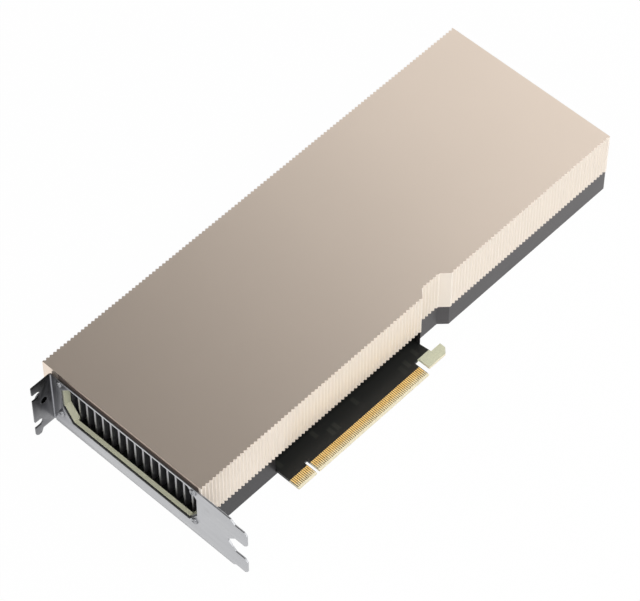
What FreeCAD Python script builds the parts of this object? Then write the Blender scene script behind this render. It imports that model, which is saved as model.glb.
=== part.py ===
import FreeCAD, Part
import math
import os

import Sketcher
from FreeCAD import Rotation, Vector

# A passively cooled, double-width accelerator card: a grooved aluminium cover over a long fin
# stack, a dark lower frame round the circuit board, a backplate under it and a folded bracket
# at the exhaust end.
# X runs from the bracket to the air inlet and is 0 at the centre of the connector's key,
# Y runs from the contact tips (0) across the card, Z is 0 on the board's component face.

doc = FreeCAD.newDocument("accelerator_card")
sheet = doc.addObject("Spreadsheet::Sheet", "sizes")

SIZES = {
    "card_length": (267.7, "cover, from the bracket end to the inlet end"),
    "key_to_bracket": (57.8, "centre of the connector key to the cover's bracket end"),
    "card_height": (111.15, "contact tips to the far long side of the cover"),
    "cover_to_tips": (13.75, "contact tips to the near long side of the cover"),
    "cover_top": (34.8, "board face up to the top of the cover"),
    "cover_foot": (9.65, "board face up to the lower edge of the cover's sides"),
    "underside": (3.65, "board face down to the underside of the card"),
    "fit_gap": (0.3, "clearance between pieces that drop into each other"),
    "top_skin": (1.2, "thickness of the cover's top"),
    "side_wall": (3.0, "thickness of the cover's long sides, groove crests included"),
    "end_wall": (3.6, "thickness of the cover's and the frame's end walls"),
    "sill_thickness": (2.2, "the end wall where it is thinned behind the exhaust sill"),
    "apron_foot": (0.6, "board face up to the foot of the cover's bracket end"),
    "rebate_depth": (1.5, "rebate under the top skin at the bracket end"),
    "rebate_foot": (31.2, "board face up to the foot of that rebate"),
    "rebate_near": (15.4, "contact tips to the near end of that rebate"),
    "rebate_far": (101.3, "contact tips to the far end of that rebate"),
    "groove_pitch": (2.1, "spacing of the V grooves"),
    "groove_width": (1.7, "mouth of a V groove"),
    "groove_depth": (0.85, "depth of a V groove"),
    "recess_start": (81.6, "key centre to the recess in the near side"),
    "recess_depth": (3.8, "depth of that recess"),
    "recess_lead": (3.6, "length of the slope into the recess"),
    "recess_floor": (12.0, "length of the recess floor"),
    "recess_exit": (3.8, "length of the slope out of the recess"),
    "recess_wall": (1.6, "wall left behind the recess"),
    "tunnel_step": (0.6, "exhaust opening smaller than the bracket window, each side"),
    "inlet_near": (21.0, "contact tips to the near edge of the inlet opening"),
    "inlet_width": (61.5, "width of the inlet opening"),
    "inlet_foot": (5.2, "lower edge of the inlet opening"),
    "inlet_head": (31.8, "upper edge of the inlet opening"),
    "screw_inset": (3.4, "cover screws, from the outer face of the side"),
    "screw_end": (10.5, "cover screws, from the ends of the card"),
    "screw_steps": (2, "equal spans between the cover screws of one side"),
    "boss_depth": (2.3, "screw bosses, inward from the side wall"),
    "boss_length": (7.0, "length of a screw boss"),
    "boss_head": (24.0, "board face up to the top of the cover's screw bosses"),
    "frame_inset": (0.4, "frame set back from the groove crests"),
    "ledge_width": (5.2, "ledge that the board lies on"),
    "board_thickness": (1.57, "circuit board"),
    "tongue_left": (12.15, "key centre to the bracket-side end of the edge connector"),
    "tongue_right": (72.15, "key centre to the far end of the edge connector"),
    "key_width": (1.9, "width of the key slot"),
    "key_depth": (7.9, "depth of the key slot from the tips"),
    "hook_gap": (2.95, "slot between the edge connector and the retention hook"),
    "hook_gap_top": (8.9, "closed end of that slot, from the tips"),
    "hook_neck": (7.1, "width of the hook's neck"),
    "hook_length": (13.1, "length of the hook's foot"),
    "hook_low": (2.4, "foot of the hook, lower edge from the tips"),
    "hook_high": (7.9, "foot of the hook, upper edge from the tips"),
    "hook_corner": (2.4, "corner cut of the hook's foot"),
    "bevel_length": (0.9, "bevel on the contact tips, along the board"),
    "bevel_depth": (0.4, "bevel on the contact tips, into the board"),
    "contact_pitch": (1.0, "edge contacts"),
    "contact_width": (0.7, "edge contacts"),
    "contact_length": (4.95, "edge contacts"),
    "contact_thickness": (0.05, "edge contacts"),
    "key_contact": (1.5, "key centre to the nearest contact on each side"),
    "left_contacts": (11, "contacts on the bracket side of the key"),
    "right_contacts": (71, "contacts on the other side of the key"),
    "sheet_metal": (0.86, "bracket sheet"),
    "tab_face": (106.35, "contact tips to the outer face of the folded tab"),
    "bracket_length": (120.02, "tab face to the ends of the tongues"),
    "bracket_top": (31.4, "board face up to the bracket's upper edge"),
    "bracket_foot": (2.6, "board face down to the bracket's lower edge"),
    "tongue_pitch": (20.32, "spacing of the bracket's tongues and screw slots"),
    "tongue_width": (10.19, "bracket tongues"),
    "tongue_centre": (3.85, "board face up to the lower tongue's centre line"),
    "tongue_reach": (7.0, "straight length of a tongue"),
    "tongue_corner": (1.4, "corner cut at a tongue's end"),
    "shoulder_run": (2.4, "sloping shoulder above the upper tongue"),
    "crotch_run": (4.1, "depth of the V between the tongues"),
    "crotch_width": (1.8, "flat bottom of that V"),
    "window_near": (16.2, "bracket window, near edge"),
    "window_far": (99.3, "bracket window, far edge"),
    "window_foot": (5.0, "bracket window, lower edge"),
    "window_head": (30.3, "bracket window, upper edge"),
    "upper_corner": (5.2, "corner cut at the top of the window"),
    "lower_corner": (5.2, "corner cut at the foot of the window, across"),
    "lower_corner_rise": (7.6, "corner cut at the foot of the window, upward"),
    "tab_length": (11.43, "folded tab, from the bracket's outer face"),
    "bend_radius": (0.6, "inside radius of the fold"),
    "slot_width": (4.42, "screw slots in the tab"),
    "slot_depth": (4.6, "screw slots, from the tab's outer edge"),
    "ear_width": (4.3, "ear beyond the lower screw slot"),
    "ear_foot": (4.4, "board face down to the end of that ear"),
    "ear_corner": (1.2, "corner cut of the ear"),
    "nut_radius": (3.0, "clinch nut, outer"),
    "nut_height": (2.1, "clinch nut, behind the tab"),
    "nut_shank": (2.0, "clinch nut, shank pressed into the tab"),
    "nut_bore": (1.65, "clinch nut, thread's inner radius"),
    "nut_offset": (5.25, "clinch nut, outward from the bracket's outer face"),
    "nut_rise": (17.2, "clinch nut, above the board face"),
    "corner_screw_near": (18.0, "contact tips to the near bracket screws"),
    "corner_screw_far": (100.4, "contact tips to the far bracket screws"),
    "corner_screw_top": (29.0, "upper bracket screws, above the board face"),
    "corner_screw_foot": (6.9, "lower bracket screws, above the board face"),
    "corner_screw_depth": (3.0, "bracket screws, thread length in the cover"),
    "small_head": (1.75, "head radius of the bracket screws"),
    "small_head_height": (0.9, "head height of the bracket screws"),
    "small_shank": (1.0, "shank radius of the bracket and board screws"),
    "shank": (1.25, "shank radius of the cover, backplate and spring screws"),
    "flat_head": (2.3, "radius of a countersunk head"),
    "flat_head_height": (1.05, "height of a countersunk head"),
    "hole_play": (0.15, "radial play of a screw in a plain hole"),
    "cover_screw_bite": (8.0, "cover screws, thread length in the cover"),
    "backplate_thickness": (1.2, "backplate"),
    "backplate_opening": (76.0, "square opening under the processor"),
    "backplate_screw_inset": (14.0, "backplate screws, from its ends"),
    "backplate_screw_side": (8.0, "backplate screws, from its sides"),
    "board_nut_radius": (2.4, "hexagonal nuts on the board, centre to corner"),
    "board_nut_height": (1.5, "hexagonal nuts on the board"),
    "rib_width": (12.0, "raised edge of the backplate that meets the board"),
    "post_size": (5.6, "square posts of the heatsink base"),
    "heatsink_front": (11.8, "cover's bracket end to the heatsink base"),
    "heatsink_length": (231.0, "heatsink base"),
    "heatsink_width": (84.5, "heatsink base across"),
    "heatsink_centre": (61.7, "contact tips to the heatsink's centre line"),
    "pedestal_length": (40.0, "raised pad of the base over the processor"),
    "pedestal_width": (38.0, "raised pad of the base over the processor"),
    "base_underside": (3.9, "board face up to the heatsink base"),
    "base_thickness": (3.0, "heatsink base"),
    "rail_thickness": (1.6, "side rails of the heatsink"),
    "fin_head": (33.0, "board face up to the tops of the fins"),
    "fin_pitch": (5.0, "spacing of the fins"),
    "fin_thickness": (1.1, "a fin"),
    "fin_count": (16, "fins between the rails"),
    "fin_overhang": (7.5, "fins beyond the base, towards the bracket"),
    "package_x": (62.0, "key centre to the processor's centre"),
    "package_size": (55.0, "processor carrier, square"),
    "carrier_thickness": (1.9, "processor carrier with its solder balls"),
    "die_length": (33.0, "processor die"),
    "die_width": (26.0, "processor die"),
    "die_thickness": (0.8, "die and memory stacks"),
    "memory_length": (11.9, "memory stack"),
    "memory_width": (7.8, "memory stack"),
    "stack_gap": (0.6, "die to memory stack, and stack to stack"),
    "ring_width": (3.2, "stiffener ring round the processor"),
    "ring_thickness": (0.6, "stiffener ring round the processor"),
    "paste_thickness": (0.2, "thermal paste on the die and the stacks"),
    "spring_span": (32.0, "processor centre to the spring screws, each way"),
    "spring_thickness": (1.2, "spring plate under the board"),
    "spring_arm": (9.0, "width of the spring plate's arms"),
    "inductor_size": (7.2, "power inductors, square"),
    "inductor_height": (3.0, "power inductors"),
    "inductor_pitch": (9.4, "spacing of the inductors"),
    "inductor_count": (8, "inductors in each row"),
    "row_offset": (41.0, "processor centre to each row of inductors"),
    "pad_overlap": (0.4, "thermal pads beyond the parts they cover, each side"),
    "stage_length": (6.0, "power stages"),
    "stage_width": (5.0, "power stages"),
    "stage_height": (0.9, "power stages"),
    "stage_offset": (9.0, "inductor row to its power stages"),
    "can_radius": (3.15, "bulk capacitors"),
    "can_height": (7.7, "bulk capacitors"),
    "can_pitch": (8.6, "spacing of the bulk capacitors"),
    "can_count": (6, "bulk capacitors"),
    "can_foot": (0.8, "moulded foot of a bulk capacitor"),
    "can_near": (36.0, "contact tips to the first bulk capacitor"),
    "can_inset": (11.9, "bulk capacitors, from the inlet end"),
    "chip_x": (150.0, "key centre to the column of small chips"),
    "chip_pitch": (20.0, "spacing of the small chips"),
    "controller_size": (7.0, "power controller, square"),
    "flash_length": (6.0, "flash memory chip"),
    "flash_width": (5.0, "flash memory chip"),
    "chip_height": (0.8, "controller and flash chip"),
    "crystal_length": (5.0, "clock crystal"),
    "crystal_width": (3.2, "clock crystal"),
    "crystal_height": (0.9, "clock crystal"),
    "socket_length": (13.3, "power socket, front to back"),
    "socket_cell": (3.6, "power socket, inside of one cell"),
    "socket_pitch": (4.2, "power socket, spacing of its cells"),
    "socket_rim": (1.2, "power socket, wall outside the cells"),
    "socket_depth": (11.0, "power socket, depth of the cells"),
    "socket_centre": (95.0, "contact tips to the middle of the power socket"),
    "socket_pin": (1.07, "square pins of the power socket"),
    "pin_reach": (7.0, "pins inside the cells"),
    "pin_leg": (1.6, "power socket to the nearer row of pin legs"),
    "end_hole_radius": (1.25, "threaded holes in the inlet end of the frame"),
    "end_hole_rise": (2.6, "those holes, above the board face"),
    "end_hole_near": (30.0, "contact tips to the nearer of those holes"),
    "end_hole_spacing": (42.0, "spacing of those holes"),
}

for row, (alias, (value, note)) in enumerate(SIZES.items(), 1):
    sheet.set("A%d" % row, alias)
    sheet.set("B%d" % row, str(value))
    sheet.set("C%d" % row, note)
    sheet.setAlias("B%d" % row, alias)
doc.recompute()


class Size:
    # A length with the spreadsheet expression that gives it.
    def __init__(self, value, text):
        self.value = float(value)
        self.text = text

    def __add__(self, other):
        other = as_size(other)
        return Size(self.value + other.value, "(%s + %s)" % (self.text, other.text))

    def __radd__(self, other):
        return as_size(other) + self

    def __sub__(self, other):
        other = as_size(other)
        return Size(self.value - other.value, "(%s - %s)" % (self.text, other.text))

    def __rsub__(self, other):
        return as_size(other) - self

    def __mul__(self, factor):
        factor = as_size(factor)
        return Size(self.value * factor.value, "(%s * %s)" % (self.text, factor.text))

    def __truediv__(self, factor):
        factor = as_size(factor)
        return Size(self.value / factor.value, "(%s / %s)" % (self.text, factor.text))

    def __neg__(self):
        return Size(-self.value, "(0 - %s)" % self.text)

    def __float__(self):
        return self.value


def as_size(number):
    if isinstance(number, Size):
        return number
    return Size(number, "(%r)" % float(number))


def size(alias):
    return Size(getattr(sheet, alias), "sizes." + alias)


def count(alias):
    return int(round(getattr(sheet, alias)))


# ---- sketches and features -------------------------------------------------------------------

def new_body(name):
    body = doc.addObject("PartDesign::Body", name)
    body.Label = name
    return body


def origin_item(body, role):
    return next(item for item in body.Origin.OriginFeatures if item.Role == role)


def new_sketch(body, name, plane, offset=0):
    sketch = body.newObject("Sketcher::SketchObject", name)
    sketch.AttachmentSupport = [(origin_item(body, plane), "")]
    sketch.MapMode = "FlatFace"
    sketch.setExpression("AttachmentOffset.Base.z", as_size(offset).text)
    return sketch


def place_coordinate(sketch, kind, geometry, position, coordinate):
    # Ties one coordinate of a sketch point to its expression; a zero puts it on the axis.
    coordinate = as_size(coordinate)
    if abs(coordinate.value) < 1e-9:
        axis = -2 if kind == "DistanceX" else -1
        sketch.addConstraint(Sketcher.Constraint("PointOnObject", geometry, position, axis))
        return
    index = sketch.addConstraint(
        Sketcher.Constraint(kind, -1, 1, geometry, position, coordinate.value))
    sketch.setExpression("Constraints[%d]" % index, coordinate.text)


def place_point(sketch, geometry, position, point):
    place_coordinate(sketch, "DistanceX", geometry, position, point[0])
    place_coordinate(sketch, "DistanceY", geometry, position, point[1])


def draw_line(sketch, start, end):
    return sketch.addGeometry(Part.LineSegment(
        Vector(float(start[0]), float(start[1]), 0), Vector(float(end[0]), float(end[1]), 0)))


def draw_arc(sketch, centre, radius, start_angle, end_angle):
    # An arc whose ends are joined to placed points, so that only its centre's x is left.
    middle = Vector(float(centre[0]), float(centre[1]), 0)
    circle = Part.Circle(middle, Vector(0, 0, 1), float(radius))
    arc = sketch.addGeometry(Part.ArcOfCircle(circle, start_angle, end_angle))
    place_coordinate(sketch, "DistanceX", arc, 3, centre[0])
    return arc


def join_ends(sketch, pairs):
    for pair in pairs:
        sketch.addConstraint(Sketcher.Constraint("Coincident", *pair))


def draw_polygon(sketch, points):
    sides = [draw_line(sketch, start, end) for start, end in zip(points, points[1:] + points[:1])]
    join_ends(sketch, [(one, 2, other, 1) for one, other in zip(sides, sides[1:] + sides[:1])])
    for side, point in zip(sides, points):
        place_point(sketch, side, 1, point)


def draw_rectangle(sketch, x1, y1, x2, y2):
    draw_polygon(sketch, [(x1, y1), (x2, y1), (x2, y2), (x1, y2)])


def draw_circle(sketch, x, y, radius):
    centre = Vector(float(x), float(y), 0)
    index = sketch.addGeometry(Part.Circle(centre, Vector(0, 0, 1), float(radius)))
    place_point(sketch, index, 3, (x, y))
    constraint = sketch.addConstraint(Sketcher.Constraint("Radius", index, float(radius)))
    sketch.setExpression("Constraints[%d]" % constraint, as_size(radius).text)


def extrude(body, sketch, kind, length, reverse):
    feature = body.newObject("PartDesign::" + kind, sketch.Name + "_" + kind.lower())
    feature.Profile = sketch
    feature.setExpression("Length", as_size(length).text)
    feature.Reversed = reverse
    sketch.Visibility = False
    return feature


def pad(body, sketch, length, reverse=False):
    return extrude(body, sketch, "Pad", length, reverse)


def pocket(body, sketch, length, forward=True):
    # Cuts along the sketch's normal, or against it.
    return extrude(body, sketch, "Pocket", length, forward)


def plate(body, name, low, high, draw, plane="XY_Plane"):
    # A pad between two heights along the plane's normal.
    sketch = new_sketch(body, name, plane, low)
    draw(sketch)
    return pad(body, sketch, as_size(high) - low)


def cut(body, name, low, high, draw, plane="XY_Plane"):
    sketch = new_sketch(body, name, plane, low)
    draw(sketch)
    return pocket(body, sketch, as_size(high) - low)


def holes(body, name, low, high, points, radius, plane="XY_Plane"):
    def draw(sketch):
        for x, y in points:
            draw_circle(sketch, x, y, radius)
    return cut(body, name, low, high, draw, plane)


def countersinks(body, name, low, points):
    # Conical seats for flat heads, narrowing upwards from the underside.
    feature = holes(body, name, low, low + size("flat_head_height"), points, size("flat_head"))
    slope = "atan((sizes.flat_head - sizes.shank) / sizes.flat_head_height)"
    feature.setExpression("TaperAngle", "-1 * " + slope)


def cylinder(name, radius, height, place=(0, 0, 0), axis=Vector(0, 0, 1)):
    item = doc.addObject("Part::Cylinder", name)
    item.setExpression("Radius", as_size(radius).text)
    item.setExpression("Height", as_size(height).text)
    set_place(item, place, axis)
    return item


def set_place(item, place, axis=Vector(0, 0, 1)):
    item.Placement.Rotation = FreeCAD.Rotation(Vector(0, 0, 1), axis)
    for letter, coordinate in zip("xyz", place):
        item.setExpression("Placement.Base." + letter, as_size(coordinate).text)


def box(name, low, high):
    item = doc.addObject("Part::Box", name)
    for side, start, end in zip(("Length", "Width", "Height"), low, high):
        item.setExpression(side, (as_size(end) - start).text)
    set_place(item, low)
    return item


def combine(kind, name, base, tools):
    # Boolean of a base with one or more tools.
    if len(tools) > 1:
        union = doc.addObject("Part::MultiFuse", name + "_tools")
        union.Shapes = tools
        tool = union
    else:
        tool = tools[0]
    result = doc.addObject("Part::" + kind, name)
    result.Base = base
    result.Tool = tool
    result.Label = name
    return result


def group(name, solids):
    # Identical loose pieces kept together under one name.
    item = doc.addObject("Part::Feature", name)
    item.Shape = Part.makeCompound(solids)
    item.Label = name
    return item


def block(low, high):
    low = Vector(*[float(v) for v in low])
    high = Vector(*[float(v) for v in high])
    return Part.makeBox(high.x - low.x, high.y - low.y, high.z - low.z, low)


def repeated(shape, points, turn=None):
    copies = []
    for point in points:
        copy = shape.copy()
        rotation = turn if turn else FreeCAD.Rotation()
        copy.Placement = FreeCAD.Placement(Vector(*[float(v) for v in point]), rotation)
        copies.append(copy)
    return copies


# ---- places shared by several pieces ---------------------------------------------------------

class Sizes:
    def __getattr__(self, alias):
        return size(alias)


s = Sizes()
left = -s.key_to_bracket
right = s.card_length - s.key_to_bracket
near = s.cover_to_tips
far = s.card_height
inner_left = left + s.end_wall
inner_right = right - s.end_wall
inner_near = near + s.side_wall
inner_far = far - s.side_wall
floor = -s.underside
board_back = -s.board_thickness
sheet_face = left - s.sheet_metal
base_top = s.base_underside + s.base_thickness
package_top = s.carrier_thickness + s.die_thickness


def side_outline(inset, recess_inset):
    # Plan of the card: a rectangle with the recess in its near side.
    a = s.recess_start
    b = a + s.recess_lead
    c = b + s.recess_floor
    d = c + s.recess_exit
    front = near + inset
    dip = near + s.recess_depth + recess_inset
    return [(left, front), (a, front), (b, dip), (c, dip), (d, front),
            (right, front), (right, far - inset), (left, far - inset)]


def hollow_outline(margin):
    # The same plan inside the walls; the recess shows through as a bump.
    a = s.recess_start - margin
    b = s.recess_start + s.recess_lead + s.recess_floor + s.recess_exit + margin
    bump = near + s.recess_depth + s.recess_wall + margin
    front = inner_near + margin
    return [(inner_left + margin, front), (a, front), (a + s.recess_lead, bump),
            (b - s.recess_exit, bump), (b, front), (inner_right - margin, front),
            (inner_right - margin, inner_far - margin), (inner_left + margin, inner_far - margin)]


screw_span = (s.card_length - s.screw_end * 2) / s.screw_steps
screw_stops = [left + s.screw_end + screw_span * i for i in range(count("screw_steps") + 1)]
tongue_stops = [x for x in screw_stops if -s.tongue_left.value < x.value < s.recess_start.value]
near_screws = [(x, near + s.screw_inset) for x in screw_stops if x not in tongue_stops]
far_screws = [(x, far - s.screw_inset) for x in screw_stops]
cover_screw_points = near_screws + far_screws


def draw_bosses(sketch, margin=0):
    # Rectangles against the side walls, round each cover screw.
    half = s.boss_length / 2 + margin
    for x, y in near_screws:
        draw_rectangle(sketch, x - half, inner_near, x + half, inner_near + s.boss_depth + margin)
    for x, y in far_screws:
        draw_rectangle(sketch, x - half, inner_far - s.boss_depth - margin, x + half, inner_far)


def window_outline(step):
    # Exhaust window of the bracket, across the card and up; step makes it smaller all round.
    y1 = s.window_near + step
    y2 = s.window_far - step
    z1 = s.window_foot + step
    z2 = s.window_head - step
    low = s.lower_corner
    rise = s.lower_corner_rise
    top = s.upper_corner
    return [(y1 + low, z1), (y2 - low, z1), (y2, z1 + rise), (y2, z2 - top), (y2 - top, z2),
            (y1 + top, z2), (y1, z2 - top), (y1, z1 + rise)]


corner_screw_points = [(y, z) for y in (s.corner_screw_near, s.corner_screw_far)
                       for z in (s.corner_screw_foot, s.corner_screw_top)]
inlet_far = s.inlet_near + s.inlet_width

socket_width = s.socket_pitch * 3 + s.socket_cell + s.socket_rim * 2
socket_height = s.socket_pitch + s.socket_cell + s.socket_rim * 2
socket_near = s.socket_centre - socket_width / 2
socket_back = right - s.socket_length

spring_points = [(s.package_x + s.spring_span * i, s.heatsink_centre + s.spring_span * j)
                 for i in (-1, 1) for j in (-1, 1)]

plate_left = inner_left + s.ledge_width + s.fit_gap
plate_right = inner_right - s.ledge_width - s.fit_gap
plate_near = inner_near + s.ledge_width + s.fit_gap
plate_far = inner_far - s.ledge_width - s.fit_gap
plate_screw_points = [(x, y)
                      for x in (plate_left + s.backplate_screw_inset,
                                plate_right - s.backplate_screw_inset)
                      for y in (plate_near + s.backplate_screw_side,
                                plate_far - s.backplate_screw_side)]


# ---- cover -----------------------------------------------------------------------------------

def groove_row(body, name, start, length, edge, inward):
    # V grooves up one straight stretch of a side, as many as its length takes.
    number = math.floor(length.value / s.groove_pitch.value)
    whole = "floor(%s / sizes.groove_pitch)" % length.text
    taken = Size(number, whole) * s.groove_pitch
    first = start + (length - taken) / 2 + s.groove_pitch / 2

    def draw(sketch):
        mouth = s.groove_width / 2
        lip = mouth / 4
        draw_polygon(sketch, [
            (first - mouth - lip, edge - s.groove_depth * inward / 4),
            (first + mouth + lip, edge - s.groove_depth * inward / 4),
            (first, edge + s.groove_depth * inward)])
    groove = cut(body, name, s.apron_foot, s.cover_top + s.fit_gap, draw)
    row_feature = body.newObject("PartDesign::LinearPattern", name + "_row")
    row_feature.Originals = [groove]
    row_feature.Direction = (groove.Profile[0], ["H_Axis"])
    row_feature.Mode = "Spacing"
    row_feature.setExpression("Offset", s.groove_pitch.text)
    row_feature.setExpression("Occurrences", whole)
    body.Tip = row_feature


def make_cover():
    body = new_body("cover")
    plate(body, "cover_block", s.cover_foot, s.cover_top,
          lambda sketch: draw_polygon(sketch, side_outline(0, 0)))
    cut(body, "cover_hollow", s.cover_foot, s.cover_top - s.top_skin,
        lambda sketch: draw_polygon(sketch, hollow_outline(0)))
    plate(body, "cover_bosses", s.cover_foot, s.boss_head, draw_bosses)
    plate(body, "cover_apron", s.apron_foot, s.cover_foot, lambda sketch: draw_rectangle(
        sketch, left, inner_near + s.fit_gap, inner_left, inner_far - s.fit_gap))
    cut(body, "exhaust_opening", left, inner_left,
        lambda sketch: draw_polygon(sketch, window_outline(s.tunnel_step)), "YZ_Plane")
    cut(body, "sill_back", left + s.sill_thickness, inner_left, lambda sketch: draw_rectangle(
        sketch, s.window_near + s.tunnel_step + s.lower_corner, s.apron_foot,
        s.window_far - s.tunnel_step - s.lower_corner, s.window_foot + s.tunnel_step), "YZ_Plane")
    cut(body, "top_rebate", left, left + s.rebate_depth, lambda sketch: draw_rectangle(
        sketch, s.rebate_near, s.rebate_foot, s.rebate_far, s.cover_top - s.top_skin), "YZ_Plane")
    cut(body, "inlet_opening", inner_right, right, lambda sketch: draw_rectangle(
        sketch, s.inlet_near, s.cover_foot, inlet_far, s.inlet_head), "YZ_Plane")
    cut(body, "socket_notch", inner_right, right, lambda sketch: draw_rectangle(
        sketch, socket_near - s.fit_gap, s.cover_foot, socket_near + socket_width + s.fit_gap,
        socket_height + s.fit_gap), "YZ_Plane")
    holes(body, "cover_screw_holes", s.cover_foot, s.cover_foot + s.cover_screw_bite,
          cover_screw_points, s.shank)
    holes(body, "corner_screw_holes", left, left + s.corner_screw_depth, corner_screw_points,
          s.small_shank, "YZ_Plane")
    recess_end = s.recess_start + s.recess_lead + s.recess_floor + s.recess_exit
    groove_row(body, "near_groove", left, s.recess_start - left, near, 1)
    groove_row(body, "recess_groove", s.recess_start + s.recess_lead, s.recess_floor,
               near + s.recess_depth, 1)
    groove_row(body, "inlet_groove", recess_end, right - recess_end, near, 1)
    groove_row(body, "far_groove", left, s.card_length, far, -1)


# ---- lower frame, board and backplate --------------------------------------------------------

def make_lower_frame():
    body = new_body("lower_frame")
    plate(body, "frame_block", floor, s.cover_foot,
          lambda sketch: draw_polygon(sketch, side_outline(s.frame_inset, s.frame_inset)))
    cut(body, "frame_hollow", board_back, s.cover_foot,
        lambda sketch: draw_polygon(sketch, hollow_outline(0)))
    cut(body, "frame_floor", floor, board_back, lambda sketch: draw_rectangle(
        sketch, inner_left + s.ledge_width, inner_near + s.ledge_width,
        inner_right - s.ledge_width, inner_far - s.ledge_width))
    plate(body, "frame_bosses", board_back, s.cover_foot, draw_bosses)
    cut(body, "connector_gap", board_back, s.cover_foot, lambda sketch: draw_rectangle(
        sketch, -s.tongue_left - s.fit_gap, near, s.recess_start, inner_near))
    cut(body, "apron_gap", left, inner_left, lambda sketch: draw_rectangle(
        sketch, inner_near, s.apron_foot - s.fit_gap, inner_far, s.cover_foot), "YZ_Plane")
    cut(body, "inlet_gap", inner_right, right, lambda sketch: draw_rectangle(
        sketch, s.inlet_near, s.inlet_foot, inlet_far, s.cover_foot), "YZ_Plane")
    cut(body, "socket_gap", inner_right, right, lambda sketch: draw_rectangle(
        sketch, socket_near - s.fit_gap, 0, socket_near + socket_width + s.fit_gap,
        s.cover_foot), "YZ_Plane")
    holes(body, "frame_screw_holes", floor, s.cover_foot, cover_screw_points,
          s.shank + s.hole_play)
    countersinks(body, "frame_countersinks", floor, cover_screw_points)
    holes(body, "end_holes", inner_right, right,
          [(s.end_hole_near + s.end_hole_spacing * i, s.end_hole_rise) for i in (0, 1)],
          s.end_hole_radius, "YZ_Plane")


def board_outline():
    # The board inside the frame, with its connector tongue, key slot and retention hook.
    x1 = inner_left + s.fit_gap
    x2 = inner_right - s.fit_gap
    y1 = inner_near + s.fit_gap
    y2 = inner_far - s.fit_gap
    key = s.key_width / 2
    neck = s.tongue_right + s.hook_gap
    toe = neck + s.hook_length
    bump = near + s.recess_depth + s.recess_wall + s.fit_gap
    start = s.recess_start - s.fit_gap
    end = s.recess_start + s.recess_lead + s.recess_floor + s.recess_exit + s.fit_gap
    return [(x1, y1), (-s.tongue_left, y1), (-s.tongue_left, 0), (-key, 0), (-key, s.key_depth),
            (key, s.key_depth), (key, 0), (s.tongue_right, 0), (s.tongue_right, s.hook_gap_top),
            (neck, s.hook_gap_top), (neck, s.hook_low), (toe - s.hook_corner, s.hook_low),
            (toe, s.hook_low + s.hook_corner), (toe, s.hook_high),
            (neck + s.hook_neck, s.hook_high), (start, y1), (start + s.recess_lead, bump),
            (end - s.recess_exit, bump), (end, y1), (x2, y1), (x2, y2), (x1, y2)]


def make_circuit_board():
    body = new_body("circuit_board")
    plate(body, "board_blank", board_back, 0,
          lambda sketch: draw_polygon(sketch, board_outline()))

    def draw_notches(sketch):
        half = s.boss_length / 2 + s.fit_gap
        depth = s.boss_depth + s.fit_gap
        for x, y in near_screws:
            draw_rectangle(sketch, x - half, near, x + half, inner_near + depth)
        for x, y in far_screws:
            draw_rectangle(sketch, x - half, inner_far - depth, x + half, far)
    cut(body, "boss_notches", board_back, 0, draw_notches)

    def draw_bevels(sketch):
        draw_polygon(sketch, [(0, 0), (s.bevel_length, 0), (0, -s.bevel_depth)])
        draw_polygon(sketch, [(0, board_back), (0, board_back + s.bevel_depth),
                              (s.bevel_length, board_back)])
    cut(body, "tip_bevels", -s.tongue_left, s.tongue_right, draw_bevels, "YZ_Plane")
    holes(body, "spring_screw_holes", board_back, 0, spring_points, s.shank + s.hole_play)
    holes(body, "plate_screw_holes", board_back, 0, plate_screw_points, s.shank + s.hole_play)


def make_edge_contacts(name, z):
    # Gold contacts on one face of the tongue, on both sides of the key slot.
    width = s.contact_width.value
    first = s.key_contact.value
    pitch = s.contact_pitch.value
    y = s.bevel_length.value
    contact = Part.makeBox(width, s.contact_length.value, s.contact_thickness.value)
    centres = [-first - pitch * i for i in range(count("left_contacts"))]
    centres += [first + pitch * i for i in range(count("right_contacts"))]
    group(name, repeated(contact, [(x - width / 2, y, z) for x in centres]))


def make_backplate():
    body = new_body("backplate")
    top = floor + s.backplate_thickness
    half = s.backplate_opening / 2
    plate(body, "backplate_sheet", floor, top, lambda sketch: draw_rectangle(
        sketch, plate_left, plate_near, plate_right, plate_far))
    cut(body, "spring_opening", floor, top, lambda sketch: draw_rectangle(
        sketch, s.package_x - half, s.heatsink_centre - half, s.package_x + half,
        s.heatsink_centre + half))

    def draw_ribs(sketch):
        draw_rectangle(sketch, plate_left, plate_near, plate_left + s.rib_width * 2, plate_far)
        draw_rectangle(sketch, plate_right - s.rib_width * 2, plate_near, plate_right, plate_far)
    plate(body, "backplate_ribs", top, board_back, draw_ribs)
    holes(body, "backplate_holes", floor, board_back, plate_screw_points, s.shank + s.hole_play)
    countersinks(body, "backplate_countersinks", floor, plate_screw_points)


# ---- bracket ---------------------------------------------------------------------------------

def bracket_outline():
    # Face of the bracket: two tongues at the foot, across the card and up.
    top = s.bracket_top
    foot = -s.bracket_foot
    bend = s.tab_face - s.sheet_metal - s.bend_radius
    tip = s.tab_face - s.bracket_length
    root = tip + s.tongue_reach
    corner = s.tongue_corner
    half = s.tongue_width / 2
    low = s.tongue_centre
    high = s.tongue_centre + s.tongue_pitch
    middle = s.tongue_centre + s.tongue_pitch / 2
    crotch = root + s.crotch_run
    outline = [(bend, top), (root + s.shoulder_run, top), (root, high + half)]
    outline += [(tip + corner, high + half), (tip, high + half - corner),
                (tip, high - half + corner), (tip + corner, high - half), (root, high - half)]
    outline += [(crotch, middle + s.crotch_width / 2), (crotch, middle - s.crotch_width / 2)]
    outline += [(root, low + half), (tip + corner, low + half), (tip, low + half - corner),
                (tip, low - half + corner), (tip + corner, low - half), (root, low - half)]
    outline += [(root + low - half - foot, foot), (bend, foot)]
    return outline


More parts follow.
